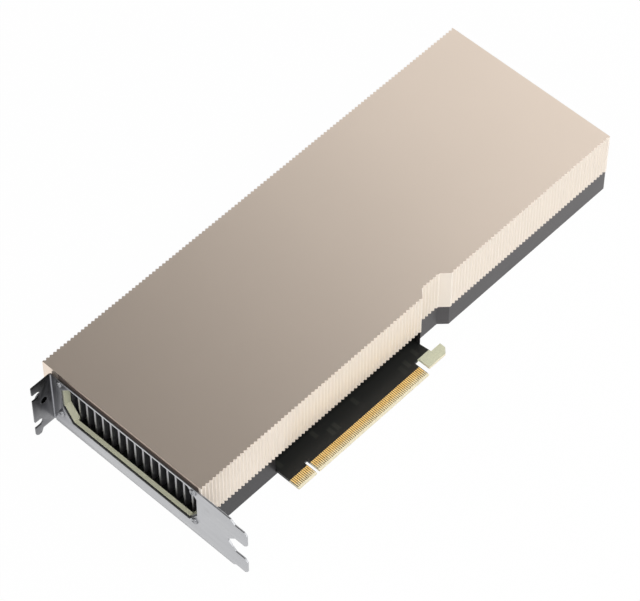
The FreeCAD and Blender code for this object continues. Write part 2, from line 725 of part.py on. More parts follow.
def draw_fold(sketch):
    # Section of the fold and the tab, square to the fold line.
    bend = s.tab_face - s.sheet_metal - s.bend_radius
    centre_x = sheet_face - s.bend_radius
    tab_end = sheet_face - s.tab_length
    inside = s.tab_face - s.sheet_metal
    corners = [(centre_x, inside), (tab_end, inside), (tab_end, s.tab_face), (centre_x, s.tab_face)]
    root = draw_line(sketch, (left, bend), (sheet_face, bend))
    place_point(sketch, root, 1, (left, bend))
    place_point(sketch, root, 2, (sheet_face, bend))
    tab = [draw_line(sketch, start, end) for start, end in zip(corners, corners[1:])]
    for line, corner in zip(tab, corners):
        place_point(sketch, line, 1, corner)
    place_point(sketch, tab[-1], 2, corners[-1])
    centre = (centre_x, bend)
    inner = draw_arc(sketch, centre, s.bend_radius, 0, math.pi / 2)
    outer = draw_arc(sketch, centre, s.bend_radius + s.sheet_metal, 0, math.pi / 2)
    join_ends(sketch, [(tab[0], 2, tab[1], 1), (tab[1], 2, tab[2], 1), (root, 2, inner, 1),
                       (inner, 2, tab[0], 1), (tab[2], 2, outer, 2), (outer, 1, root, 1)])


def draw_open_slot(sketch, mouth, end, z):
    # A slot with a round end, open towards the tab's edge.
    half = s.slot_width / 2
    corners = [(end, z - half), (mouth, z - half), (mouth, z + half), (end, z + half)]
    sides = [draw_line(sketch, start, stop) for start, stop in zip(corners, corners[1:])]
    for side, corner in zip(sides, corners):
        place_point(sketch, side, 1, corner)
    place_point(sketch, sides[-1], 2, corners[-1])
    arc = draw_arc(sketch, (end, z), half, -math.pi / 2, math.pi / 2)
    join_ends(sketch, [(sides[0], 2, sides[1], 1), (sides[1], 2, sides[2], 1),
                       (arc, 1, sides[0], 1), (arc, 2, sides[2], 2)])


def make_io_bracket():
    body = new_body("io_bracket")
    tab_end = sheet_face - s.tab_length
    tab_foot = s.tongue_centre - s.tongue_width / 2 - s.sheet_metal / 2
    plate(body, "bracket_face", sheet_face, left,
          lambda sketch: draw_polygon(sketch, bracket_outline()), "YZ_Plane")
    plate(body, "bracket_fold", tab_foot, s.bracket_top, draw_fold)
    ear = s.ear_width
    corner = s.ear_corner
    # The XZ plane faces -Y, so its offsets are negative.
    plate(body, "bracket_ear", -s.tab_face, s.sheet_metal - s.tab_face,
          lambda sketch: draw_polygon(sketch, [
              (tab_end, tab_foot), (tab_end, -s.ear_foot + corner),
              (tab_end + corner, -s.ear_foot), (tab_end + ear - corner, -s.ear_foot),
              (tab_end + ear, tab_foot)]), "XZ_Plane")
    cut(body, "bracket_window", sheet_face, left,
        lambda sketch: draw_polygon(sketch, window_outline(0)), "YZ_Plane")
    holes(body, "bracket_screw_holes", sheet_face, left, corner_screw_points,
          s.small_shank + s.hole_play, "YZ_Plane")
    round_end = tab_end + s.slot_depth - s.slot_width / 2
    for i in (0, 1):
        cut(body, "tab_slot_%d" % (i + 1), -s.tab_face, s.sheet_metal - s.tab_face,
            lambda sketch: draw_open_slot(sketch, tab_end - s.fit_gap, round_end,
                                          s.tongue_centre + s.tongue_pitch * i), "XZ_Plane")
    cut(body, "tab_nut_hole", -s.tab_face, s.sheet_metal - s.tab_face,
        lambda sketch: draw_circle(sketch, sheet_face - s.nut_offset, s.nut_rise, s.nut_shank),
        "XZ_Plane")


def make_clinch_nut():
    place = (sheet_face - s.nut_offset, s.tab_face, s.nut_rise)
    foot = (place[0], s.tab_face - s.sheet_metal, place[2])
    along = Vector(0, 1, 0)
    flange = cylinder("nut_flange", s.nut_radius, s.nut_height, place, along)
    shank = cylinder("nut_press", s.nut_shank, s.sheet_metal, foot, along)
    bore = cylinder("nut_thread", s.nut_bore, s.nut_height + s.sheet_metal, foot, along)
    blank = doc.addObject("Part::Fuse", "nut_blank")
    blank.Base = flange
    blank.Tool = shank
    combine("Cut", "bracket_clinch_nut", blank, [bore])


# ---- screws ----------------------------------------------------------------------------------

# The many small round pieces are drawn with few sides, inside the true round of their holes.
HEAD_SIDES = 16
SHANK_SIDES = 8
NUT_SIDES = 6

def prism(sides, radius, low, high, top_radius=None):
    # Upright many-sided prism, or a frustum where the top radius differs.
    rings = []
    for ring_radius, z in ((radius, low), (top_radius or radius, high)):
        corners = [Vector(ring_radius * math.cos(2 * math.pi * i / sides),
                          ring_radius * math.sin(2 * math.pi * i / sides), z)
                   for i in range(sides)]
        rings.append(Part.makePolygon(corners + corners[:1]))
    return Part.makeLoft(rings, True, True)


def pan_screw(shank_radius, length):
    # Low round head above its shank; the head's seat is at the origin and the shank points down.
    head = prism(HEAD_SIDES, s.small_head.value, 0, s.small_head_height.value)
    return head.fuse(prism(SHANK_SIDES, shank_radius, -length, 0)).removeSplitter()


def flat_screw(length):
    # Countersunk screw; the head's outer face is at the origin and the shank points down.
    depth = s.flat_head_height.value
    head = prism(HEAD_SIDES, s.shank.value, -depth, 0, s.flat_head.value)
    return head.fuse(prism(SHANK_SIDES, s.shank.value, -length, -depth)).removeSplitter()


turned_over = Rotation(Vector(1, 0, 0), 180)


def make_screws():
    to_bracket = Rotation(Vector(0, 0, 1), Vector(-1, 0, 0))
    small = pan_screw(s.small_shank.value, s.sheet_metal.value + s.corner_screw_depth.value)
    group("bracket_screws", repeated(
        small, [(sheet_face, y, z) for y, z in corner_screw_points], to_bracket))
    long = flat_screw((s.cover_foot + s.cover_screw_bite - floor).value)
    group("cover_screws", repeated(
        long, [(x, y, floor) for x, y in cover_screw_points], turned_over))
    short = flat_screw((s.board_nut_height - floor).value)
    group("backplate_screws", repeated(
        short, [(x, y, floor) for x, y in plate_screw_points], turned_over))


def make_board_nuts():
    height = s.board_nut_height.value
    nut = prism(NUT_SIDES, s.board_nut_radius.value, 0, height)
    nut = nut.cut(prism(SHANK_SIDES, s.shank.value, 0, height))
    group("board_nuts", repeated(nut, [(x, y, 0) for x, y in plate_screw_points]))


# ---- heatsink --------------------------------------------------------------------------------

heatsink_left = left + s.heatsink_front
heatsink_near = s.heatsink_centre - s.heatsink_width / 2
heatsink_far = s.heatsink_centre + s.heatsink_width / 2


def make_heatsink_base():
    body = new_body("heatsink_base")
    heatsink_right = heatsink_left + s.heatsink_length
    plate(body, "base_sheet", s.base_underside, base_top, lambda sketch: draw_rectangle(
        sketch, heatsink_left, heatsink_near, heatsink_right, heatsink_far))

    def draw_rails(sketch):
        draw_rectangle(sketch, heatsink_left, heatsink_near, heatsink_right,
                       heatsink_near + s.rail_thickness)
        draw_rectangle(sketch, heatsink_left, heatsink_far - s.rail_thickness, heatsink_right,
                       heatsink_far)
    plate(body, "base_rails", base_top, s.fin_head, draw_rails)
    length = s.pedestal_length / 2
    width = s.pedestal_width / 2
    plate(body, "base_pedestal", package_top + s.paste_thickness, s.base_underside,
          lambda sketch: draw_rectangle(
              sketch, s.package_x - length, s.heatsink_centre - width, s.package_x + length,
              s.heatsink_centre + width))

    def draw_posts(sketch):
        half = s.post_size / 2
        for x, y in spring_points:
            draw_rectangle(sketch, x - half, y - half, x + half, y + half)
    plate(body, "base_posts", 0, s.base_underside, draw_posts)
    holes(body, "base_threads", 0, base_top, spring_points, s.shank)


def make_heatsink_fins():
    # Upright sheets soldered to the base; they reach past it towards the bracket.
    number = count("fin_count")
    thickness = s.fin_thickness.value
    start = (heatsink_left - s.fin_overhang).value
    length = (s.heatsink_length + s.fin_overhang).value
    fin = Part.makeBox(length, thickness, (s.fin_head - base_top).value)
    middle = s.heatsink_centre.value - thickness / 2
    first = -(number - 1) / 2
    group("heatsink_fins", repeated(
        fin, [(start, middle + (first + i) * s.fin_pitch.value, base_top) for i in range(number)]))


# ---- processor and its surroundings ----------------------------------------------------------

def centred_box(x, y, low, length, width, height):
    # A box standing on low, centred on x and y.
    length = float(length)
    width = float(width)
    corner = Vector(float(x) - length / 2, float(y) - width / 2, float(low))
    return Part.makeBox(length, width, float(height), corner)


def bound_box(name, x, y, low, length, width, height):
    return box(name, (x - length / 2, y - width / 2, low), (x + length / 2, y + width / 2, low + height))


die_side = s.die_width / 2 + s.stack_gap + s.memory_width / 2
stack_step = s.memory_length + s.stack_gap
stack_points = [(s.package_x + stack_step * i, s.heatsink_centre + die_side * j)
                for j in (-1, 1) for i in (-1, 0, 1)]


def make_package():
    x = s.package_x
    y = s.heatsink_centre
    substrate = s.package_size
    bound_box("processor_carrier", x, y, as_size(0), substrate, substrate, s.carrier_thickness)
    bound_box("processor_die", x, y, s.carrier_thickness, s.die_length, s.die_width,
              s.die_thickness)
    stack = centred_box(0, 0, s.carrier_thickness, s.memory_length, s.memory_width,
                        s.die_thickness)
    group("memory_stacks", repeated(stack, [(a, b, 0) for a, b in stack_points]))
    inside = substrate - s.ring_width * 2
    outer = bound_box("ring_outer", x, y, s.carrier_thickness, substrate, substrate,
                      s.ring_thickness)
    hole = bound_box("ring_inner", x, y, s.carrier_thickness, inside, inside, s.ring_thickness)
    combine("Cut", "package_stiffener", outer, [hole])
    pieces = [centred_box(x, y, package_top, s.die_length, s.die_width, s.paste_thickness)]
    pieces += [centred_box(a, b, package_top, s.memory_length, s.memory_width, s.paste_thickness)
               for a, b in stack_points]
    group("thermal_paste", pieces)


def make_power_stages():
    # A row of inductors and one of power stages on both sides of the processor.
    number = count("inductor_count")
    first = -(number - 1) / 2
    rows = [s.heatsink_centre.value + (first + i) * s.inductor_pitch.value for i in range(number)]
    inductors = []
    stages = []
    pads = []
    span = (number - 1) * s.inductor_pitch.value
    lap = 2 * s.pad_overlap.value
    for side in (-1, 1):
        x = s.package_x + s.row_offset * side
        beyond = x + s.stage_offset * side
        for y in rows:
            inductor = centred_box(x, y, 0, s.inductor_size, s.inductor_size, s.inductor_height)
            upright = [edge for edge in inductor.Edges
                       if abs(edge.tangentAt(edge.FirstParameter).z) > 0.5]
            inductors.append(inductor.makeChamfer(s.inductor_size.value / 10, upright))
            stages.append(centred_box(beyond, y, 0, s.stage_width, s.stage_length,
                                      s.stage_height))
        for place, width, length, low in (
                (x, s.inductor_size, s.inductor_size, s.inductor_height),
                (beyond, s.stage_width, s.stage_length, s.stage_height)):
            pads.append(centred_box(place, s.heatsink_centre, low, width.value + lap,
                                    span + length.value + lap, s.base_underside - low))
    group("inductors", inductors)
    group("power_stages", stages)
    group("thermal_pads", pads)


def make_board_parts():
    radius = s.can_radius.value
    height = s.can_height.value
    shoulder = radius / 6
    foot = centred_box(0, 0, 0, 2 * radius, 2 * radius, s.can_foot)
    can = prism(HEAD_SIDES, radius, s.can_foot.value, height - shoulder)
    can = can.fuse(prism(HEAD_SIDES, radius, height - shoulder, height, radius - shoulder))
    can = can.fuse(foot).removeSplitter()
    group("bulk_capacitors", repeated(can, [
        (right - s.can_inset, s.can_near + s.can_pitch * i, 0) for i in range(count("can_count"))]))
    middle = s.heatsink_centre
    bound_box("power_controller", s.chip_x, middle - s.chip_pitch, as_size(0),
              s.controller_size, s.controller_size, s.chip_height)
    bound_box("flash_memory", s.chip_x, middle, as_size(0), s.flash_length, s.flash_width,
              s.chip_height)
    bound_box("clock_crystal", s.chip_x, middle + s.chip_pitch, as_size(0), s.crystal_length,
              s.crystal_width, s.crystal_height)


def make_spring_plate():
    # X-shaped spring under the board that pulls the heatsink down on the processor.
    body = new_body("spring_plate")
    tip = s.spring_span + s.post_size / 2
    arm = s.spring_arm * math.sqrt(0.5)
    cut_corner = arm / 2

    def draw(sketch):
        quarter = [(arm, as_size(0)), (tip, tip - arm), (tip, tip - cut_corner),
                   (tip - cut_corner, tip), (tip - arm, tip)]
        points = []
        for _ in range(4):
            points += [(s.package_x + x, s.heatsink_centre + y) for x, y in quarter]
            quarter = [(-y, x) for x, y in quarter]
        draw_polygon(sketch, points)
    low = board_back - s.spring_thickness
    plate(body, "spring_sheet", low, board_back, draw)
    holes(body, "spring_holes", low, board_back, spring_points, s.shank + s.hole_play)
    reach = (base_top - low).value
    screw = pan_screw(s.shank.value, reach)
    group("spring_screws", repeated(screw, [(x, y, low) for x, y in spring_points], turned_over))


# ---- power socket ----------------------------------------------------------------------------

def socket_cells(size_of_cell):
    # Squares of one size in the middle of each cell, across the card and up.
    half = size_of_cell / 2
    for row in (0, 1):
        for column in range(4):
            y = socket_near + s.socket_rim + s.socket_cell / 2 + s.socket_pitch * column
            z = s.socket_rim + s.socket_cell / 2 + s.socket_pitch * row
            yield y - half, z - half, y + half, z + half


def make_power_socket():
    body = new_body("power_socket")
    plate(body, "socket_block", socket_back, right, lambda sketch: draw_rectangle(
        sketch, socket_near, 0, socket_near + socket_width, socket_height), "YZ_Plane")

    def draw_cells(sketch):
        for corners in socket_cells(s.socket_cell):
            draw_rectangle(sketch, *corners)

    def draw_pin_holes(sketch):
        for corners in socket_cells(s.socket_pin):
            draw_rectangle(sketch, *corners)
    cut(body, "socket_cells", right - s.socket_depth, right, draw_cells, "YZ_Plane")
    cut(body, "socket_pin_holes", socket_back, right - s.socket_depth, draw_pin_holes, "YZ_Plane")


def make_power_socket_pins():
    # Bent square pins: a leg up from the board, then through the socket's back wall.
    tip = right - s.socket_depth + s.pin_reach
    pins = []
    for y1, z1, y2, z2 in socket_cells(s.socket_pin):
        upper = z1.value > socket_height.value / 2
        leg = socket_back - s.pin_leg - (s.socket_pitch if upper else 0)
        pin = block((leg, y1, z1), (tip, y2, z2))
        pins.append(pin.fuse(block((leg, y1, 0), (leg + s.socket_pin, y2, z2))).removeSplitter())
    group("power_socket_pins", pins)


# ---- assembly --------------------------------------------------------------------------------

make_cover()
make_lower_frame()
make_circuit_board()
make_edge_contacts("edge_contacts_front", 0)
make_edge_contacts("edge_contacts_back", (board_back - s.contact_thickness).value)
make_backplate()
make_io_bracket()
make_clinch_nut()
make_screws()
make_board_nuts()
make_heatsink_base()
make_heatsink_fins()
make_package()
make_power_stages()
make_board_parts()
make_spring_plate()
make_power_socket()
make_power_socket_pins()
doc.recompute()

PARTS = [
    "cover", "lower_frame", "backplate", "circuit_board", "edge_contacts_front",
    "edge_contacts_back", "io_bracket", "bracket_clinch_nut", "bracket_screws", "cover_screws",
    "backplate_screws", "board_nuts", "heatsink_base", "heatsink_fins", "processor_carrier",
    "processor_die", "memory_stacks", "package_stiffener", "thermal_paste", "thermal_pads",
    "inductors", "power_stages", "bulk_capacitors", "power_controller", "flash_memory",
    "clock_crystal", "spring_plate", "spring_screws", "power_socket", "power_socket_pins",
]

os.makedirs("parts", exist_ok=True)
for item in doc.Objects:
    if "Invalid" in item.State or "Error" in item.State:
        raise RuntimeError("%s failed: %s" % (item.Name, item.State))
for name in PARTS:
    item = doc.getObjectsByLabel(name)[0]
    shape = item.Shape
    if shape.isNull() or not shape.isValid():
        raise RuntimeError("%s has no valid shape" % name)
    shape.exportStep("parts/%s.step" % name)
    print("%-22s %2d solids %11.1f mm3" % (name, len(shape.Solids), shape.Volume))
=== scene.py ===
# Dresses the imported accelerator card: finishes, screws, fin feet, bracket edges, floor, lamps
# and camera. Lengths in the dictionaries are in mm, apart from the stage, lamps and camera.
import math

import bmesh
import bpy
from mathutils import Euler, Matrix, Vector


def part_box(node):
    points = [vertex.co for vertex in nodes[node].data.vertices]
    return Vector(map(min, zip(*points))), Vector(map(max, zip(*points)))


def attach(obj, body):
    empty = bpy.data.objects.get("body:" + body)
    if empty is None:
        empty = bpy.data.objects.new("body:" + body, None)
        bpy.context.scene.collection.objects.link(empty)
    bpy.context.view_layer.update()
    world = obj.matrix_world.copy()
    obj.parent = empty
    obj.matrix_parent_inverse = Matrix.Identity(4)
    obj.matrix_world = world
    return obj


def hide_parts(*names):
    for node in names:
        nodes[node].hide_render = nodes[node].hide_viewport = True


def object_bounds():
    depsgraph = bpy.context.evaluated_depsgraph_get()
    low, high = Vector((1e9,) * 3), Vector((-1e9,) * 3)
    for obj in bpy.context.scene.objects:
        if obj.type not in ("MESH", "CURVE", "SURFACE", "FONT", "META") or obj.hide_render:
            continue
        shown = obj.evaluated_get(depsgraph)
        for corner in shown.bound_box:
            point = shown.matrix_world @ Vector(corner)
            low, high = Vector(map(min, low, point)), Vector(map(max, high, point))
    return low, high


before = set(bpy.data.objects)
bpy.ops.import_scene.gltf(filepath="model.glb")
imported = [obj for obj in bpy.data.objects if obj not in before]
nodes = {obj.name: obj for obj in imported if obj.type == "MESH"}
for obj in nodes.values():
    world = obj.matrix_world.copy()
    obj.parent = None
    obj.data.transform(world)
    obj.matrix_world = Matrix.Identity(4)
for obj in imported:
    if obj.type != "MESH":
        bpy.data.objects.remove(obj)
cadBox = [list(corner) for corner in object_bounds()]
mm = 0.001
weldGap = 1e-7  # metres between corners that count as one

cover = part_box("cover")
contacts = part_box("edge_contacts_front")
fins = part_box("heatsink_fins")
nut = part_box("bracket_clinch_nut")

coverFront = cover[0][0] / mm
coverNear = cover[0][1] / mm
coverTop = cover[1][2] / mm

# What a finish has unless its own settings say otherwise.
plainFinish = {"metallic": 0, "coat": 0, "coatRoughness": 0.2, "specular": 0.5, "stretch": (1, 1, 1),
               "swing": 0.05, "depth": 0.02, "relief": 0.3, "ramps": (), "paintedLightRegions": ()}


def newMaterial(name, settings):
    # A principled material with its plain values set on the shader's own sockets.
    material = bpy.data.materials.new(name)
    material.use_nodes = True
    tree = material.node_tree
    shader = tree.nodes["Principled BSDF"]
    shader.inputs["Metallic"].default_value = settings["metallic"]
    shader.inputs["Coat Weight"].default_value = settings["coat"]
    shader.inputs["Coat Roughness"].default_value = settings["coatRoughness"]
    shader.inputs["Specular IOR Level"].default_value = settings["specular"]
    return material, tree, shader


def feed(tree, value, socket):
    # Links another node's output to a socket, or sets a number or a colour on it.
    if isinstance(value, bpy.types.NodeSocket):
        tree.links.new(value, socket)
    elif isinstance(value, tuple):
        socket.default_value = (*value, 1)
    else:
        socket.default_value = value


def objectPoint(tree, stretch=(1, 1, 1)):
    # Object coordinates, stretched where a pattern runs along one direction.
    source = tree.nodes.new("ShaderNodeTexCoord")
    mapping = tree.nodes.new("ShaderNodeMapping")
    mapping.inputs["Scale"].default_value = stretch
    tree.links.new(source.outputs["Object"], mapping.inputs["Vector"])
    return mapping.outputs["Vector"]


def coordinate(tree, axis):
    source = tree.nodes.new("ShaderNodeTexCoord")
    split = tree.nodes.new("ShaderNodeSeparateXYZ")
    tree.links.new(source.outputs["Object"], split.inputs["Vector"])
    return split.outputs[axis]


def noise(tree, point, scale, detail=2.0):
    node = tree.nodes.new("ShaderNodeTexNoise")
    node.inputs["Scale"].default_value = scale
    node.inputs["Detail"].default_value = detail
    tree.links.new(point, node.inputs["Vector"])
    return node.outputs["Fac"]


def remap(tree, value, low, high, fromLow=0.3, fromHigh=0.7):
    node = tree.nodes.new("ShaderNodeMapRange")
    node.inputs["From Min"].default_value = fromLow
    node.inputs["From Max"].default_value = fromHigh
    node.inputs["To Min"].default_value = low
    node.inputs["To Max"].default_value = high
    tree.links.new(value, node.inputs["Value"])
    return node.outputs["Result"]


def reckon(tree, operation, first, second):
    node = tree.nodes.new("ShaderNodeMath")
    node.operation = operation
    feed(tree, first, node.inputs[0])
    feed(tree, second, node.inputs[1])
    return node.outputs["Value"]


def mixColor(tree, factor, first, second, blend="MIX"):
    node = tree.nodes.new("ShaderNodeMix")
    node.data_type = "RGBA"
    node.blend_type = blend
    for label, value in (("A", first), ("B", second)):
        target = [s for s in node.inputs if s.name == label and s.type == "RGBA"][0]
        feed(tree, value, target)
    feed(tree, factor, node.inputs["Factor"])
    return [s for s in node.outputs if s.type == "RGBA"][0]


def mixValue(tree, factor, first, second):
    node = tree.nodes.new("ShaderNodeMix")
    feed(tree, factor, node.inputs["Factor"])
    feed(tree, first, node.inputs["A"])
    feed(tree, second, node.inputs["B"])
    return node.outputs["Result"]


def bumpFrom(tree, shader, height, settings):
    node = tree.nodes.new("ShaderNodeBump")
    node.inputs["Strength"].default_value = settings["relief"]
    node.inputs["Distance"].default_value = settings["depth"] * mm
    tree.links.new(height, node.inputs["Height"])
    tree.links.new(node.outputs["Normal"], shader.inputs["Normal"])


def shade(color, factor):
    return tuple(min(1.0, channel * factor) for channel in color)


def graded(tree, ramp):
    # Colour that goes from start to end over a span of one axis.
    low, high = ramp["span"]
    place = remap(tree, coordinate(tree, ramp["axis"]), 0, 1, low * mm, high * mm)
    return mixColor(tree, place, ramp["start"], ramp["end"])


def insideBox(tree, limits):
    # 1 between the stated limits of each named axis, 0 outside them.
    inside = None
    for axis, (low, high) in limits.items():
        value = coordinate(tree, axis)
        for operation, limit in (("GREATER_THAN", low), ("LESS_THAN", high)):
            if limit is None:
                continue
            test = reckon(tree, operation, value, limit * mm)
            inside = test if inside is None else reckon(tree, "MULTIPLY", inside, test)
    return inside


def insideRound(tree, shadowSpot):
    # 1 within the shadow spot's radius of a line along the axis that it doesn't name.
    squares = []
    for axis, middle in zip(shadowSpot["axes"], shadowSpot["centre"]):
        away = reckon(tree, "SUBTRACT", coordinate(tree, axis), middle * mm)
        squares.append(reckon(tree, "MULTIPLY", away, away))
    total = reckon(tree, "ADD", *squares)
    return reckon(tree, "LESS_THAN", total, (shadowSpot["radius"] * mm) ** 2)


def makeFinish(name, ownSettings):
    # Mottled colour, uneven gloss and a fine grain, then painted light and shade: ramps, regions and a
    # dark spot in the stated places.
    settings = {**plainFinish, **ownSettings}
    material, tree, shader = newMaterial(name, settings)
    point = objectPoint(tree, settings["stretch"])
    blotch = noise(tree, point, settings["blotch"], 3)
    grain = noise(tree, point, settings["grain"])
    darker = shade(settings["color"], 1 - settings["spread"])
    lighter = shade(settings["color"], 1 + settings["spread"])
    tint = mixColor(tree, remap(tree, blotch, 0, 1), darker, lighter)
    metallic = settings["metallic"]
    for ramp in settings["ramps"]:
        tint = mixColor(tree, 1.0, tint, graded(tree, ramp), "MULTIPLY")
    for region in settings["paintedLightRegions"]:
        mask = insideBox(tree, region["limits"])
        filling = graded(tree, region["ramp"]) if "ramp" in region else region["color"]
        tint = mixColor(tree, mask, tint, filling)
        if "metallic" in region:
            metallic = mixValue(tree, mask, metallic, region["metallic"])
    feed(tree, metallic, shader.inputs["Metallic"])
    if "shadowSpot" in settings:
        shadowSpot = settings["shadowSpot"]
        tint = mixColor(tree, insideRound(tree, shadowSpot), tint, shadowSpot["color"])
    feed(tree, tint, shader.inputs["Base Color"])
    glossy = settings["roughness"] - settings["swing"]
    matt = settings["roughness"] + settings["swing"]
    feed(tree, remap(tree, grain, glossy, matt), shader.inputs["Roughness"])
    bumpFrom(tree, shader, grain, settings)
    return material


# Places on the cover and the bracket's tab that look different from the rest of them: painted light and
# shade.
endFace = (None, coverFront + 0.05)
windowWidth = (16, 99.5)
sideHeight = (9, coverTop - 0.05)
places = {
    "nearSide": {"Y": (None, coverNear + 0.95), "Z": sideHeight},
    "recess": {"X": (80, 103), "Y": (None, coverNear + 4.8), "Z": sideHeight},
    "rebate": {"X": (None, coverFront + 1.6), "Y": (15.3, 101.4), "Z": (31.1, 33.63)},
    "topLip": {"X": endFace, "Y": (15.4, 101.3), "Z": (33.55, coverTop - 0.05)},
    "tunnel": {"X": (coverFront + 0.05, coverFront + 3.7), "Y": windowWidth, "Z": (4.5, 29.8)},
    "stepRing": {"X": endFace, "Y": windowWidth, "Z": (4.5, 30.4)},
    "stepShadow": {"X": endFace, "Y": windowWidth, "Z": (4.5, 13)},
    "tab": {"X": (None, -59.3), "Y": (104.5, None)},
}

# Blotch and grain are noise cells to the metre, spread is how far the colour strays, and swing
# how far the roughness does. Depth and relief are the grain's, as a bump.
finishes = {
    "champagne": {
        "color": (0.87, 0.745, 0.635), "metallic": 1.0, "roughness": 0.36, "swing": 0.03,
        "blotch": 14, "grain": 3200, "spread": 0.012, "depth": 0.01, "relief": 0.2,
        "paintedLightRegions": [
            # Painted light: the near side and its recess get a paler, less metallic copy of the
            # champagne, so they read brightly lit.
            {"limits": places["nearSide"], "color": (0.855, 0.772, 0.68), "metallic": 0.2},
            {"limits": places["recess"], "color": (0.855, 0.772, 0.68), "metallic": 0.2},
            # Painted shade: the rebate under the top lip is darkened, as if in shadow.
            {"limits": places["rebate"], "color": (0.3, 0.25, 0.23), "metallic": 0.5},
            # Painted shade: the top lip's front face is darkened.
            {"limits": places["topLip"], "color": (0.4, 0.31, 0.26)},
            # Painted light: the tunnel walls and the step round the opening get a paler, matt copy of
            # the champagne, as if lit.
            {"limits": places["tunnel"], "color": (0.8, 0.8, 0.6), "metallic": 0},
            {"limits": places["stepRing"], "color": (0.6, 0.6, 0.46), "metallic": 0},
            {"limits": places["stepShadow"], "color": (0.02, 0.02, 0.018)}]},
    "darkFrame": {
        "color": (0.2, 0.197, 0.2), "metallic": 0.8, "roughness": 0.42, "blotch": 40, "grain": 2600,
        "spread": 0.06,
        # Painted reflection: the frame and backplate darken towards the bracket end and lighten towards
        # the far end.
        "ramps": [{"axis": "X", "span": (-50, 200), "start": (0.225, 0.219, 0.23),
                   "end": (0.59, 0.572, 0.572)}]},
    "nickel": {
        "color": (0.5, 0.505, 0.52), "metallic": 1.0, "roughness": 0.33, "blotch": 70, "grain": 900,
        "spread": 0.04, "stretch": (1, 0.08, 1), "depth": 0.01, "relief": 0.2,
        # Painted shade: the bracket darkens towards its fold.
        "ramps": [{"axis": "Y", "span": (80, 104), "start": (1, 1, 1), "end": (0.6, 0.6, 0.62)}],
        # Painted shade: the tab is darkened, darkest towards its top.
        "paintedLightRegions": [{"limits": places["tab"],
                     "ramp": {"axis": "Z", "span": (4, 20), "start": (0.2, 0.2, 0.21),
                              "end": (0.05, 0.05, 0.053)}}]},
    "zinc": {
        "color": (0.38, 0.385, 0.4), "metallic": 1.0, "roughness": 0.35, "swing": 0.08,
        "blotch": 300, "grain": 4000, "spread": 0.12, "depth": 0.01},
    "nutZinc": {
        "color": (0.5, 0.51, 0.52), "metallic": 1.0, "roughness": 0.35, "swing": 0.08,
        "blotch": 300, "grain": 4000, "spread": 0.12, "depth": 0.01,
        # Painted shadow: a near-black disc over the nut's bore, a little wider than the bore.
        "shadowSpot": {"axes": "XZ", "radius": 1.95, "color": (0.01, 0.01, 0.011),
                 "centre": ((nut[0][0] + nut[1][0]) / 2 / mm, (nut[0][2] + nut[1][2]) / 2 / mm)}},
    "blackOxide": {
        "color": (0.035, 0.035, 0.038), "metallic": 0.8, "roughness": 0.4, "swing": 0.08,
        "blotch": 400, "grain": 4000, "spread": 0.2, "depth": 0.01},
    "aluminium": {
        "color": (0.66, 0.67, 0.68), "metallic": 1.0, "roughness": 0.38, "swing": 0.07,
        "blotch": 60, "grain": 1600, "spread": 0.05, "stretch": (0.04, 1, 1), "depth": 0.01},
    "finSheet": {
        "color": (0.52, 0.52, 0.54), "metallic": 1.0, "roughness": 0.45, "swing": 0.06,
        "blotch": 60, "grain": 1500, "spread": 0.06, "stretch": (0.05, 1, 1), "depth": 0.01},
    "laminate": {
        "color": (0.03, 0.12, 0.06), "roughness": 0.35, "blotch": 200, "grain": 3000,
        "spread": 0.15, "coat": 0.3},
    "silicon": {
        "color": (0.05, 0.055, 0.07), "metallic": 0.7, "roughness": 0.08, "swing": 0.02,
        "blotch": 30, "grain": 500, "spread": 0.1, "depth": 0.001, "relief": 0.05},
    "platedCopper": {
        "color": (0.58, 0.57, 0.55), "metallic": 1.0, "roughness": 0.28, "blotch": 120,
        "grain": 1800, "spread": 0.05},
    "paste": {
        "color": (0.42, 0.42, 0.43), "roughness": 0.6, "blotch": 500, "grain": 1500,
        "spread": 0.1, "depth": 0.1},
    "siliconePad": {
        "color": (0.2, 0.24, 0.32), "roughness": 0.75, "blotch": 300, "grain": 2000,
        "spread": 0.1, "depth": 0.05},
    "ironPowder": {
        "color": (0.1, 0.1, 0.105), "metallic": 0.3, "roughness": 0.6, "blotch": 600,
        "grain": 4500, "spread": 0.25, "depth": 0.03},
    "moulding": {
        "color": (0.022, 0.022, 0.023), "roughness": 0.55, "blotch": 500, "grain": 5000,
        "spread": 0.2},
    "canSleeve": {
        "color": (0.7, 0.7, 0.71), "metallic": 1.0, "roughness": 0.25, "blotch": 200,
        "grain": 1500, "spread": 0.05, "stretch": (1, 1, 0.1)},
    "nylon": {
        "color": (0.025, 0.025, 0.026), "roughness": 0.45, "blotch": 250, "grain": 2500,
        "spread": 0.15, "depth": 0.03},
    "tinned": {
        "color": (0.72, 0.7, 0.62), "metallic": 1.0, "roughness": 0.25, "blotch": 300,
        "grain": 2500, "spread": 0.08},
}
materials = {name: makeFinish(name, settings) for name, settings in finishes.items()}

boardFinish = {
    "mask": (0.011, 0.0115, 0.0105),
    "copper": (0.024, 0.025, 0.021),
    "bare": (0.62, 0.63, 0.47),
    "tips": (0.74, 0.68, 0.5),
    "runs": 150,  # copper runs to the metre
    "runStretch": (1, 0.5, 1),
    "runEdge": (0.12, 0.2),
    "weave": 1400,
    "weaveShades": (0.9, 1.08),
    "roughness": 0.45,
    "specular": 0.35,
    "hook": {"X": (contacts[1][0] / mm + 2.5, None), "Y": (None, coverNear - 4.6)},
    "tipEdge": {"Y": (None, contacts[0][1] / mm - 0.02)},
    "tipSides": {"Y": (None, 6), "Z": (None, -0.02)},
}


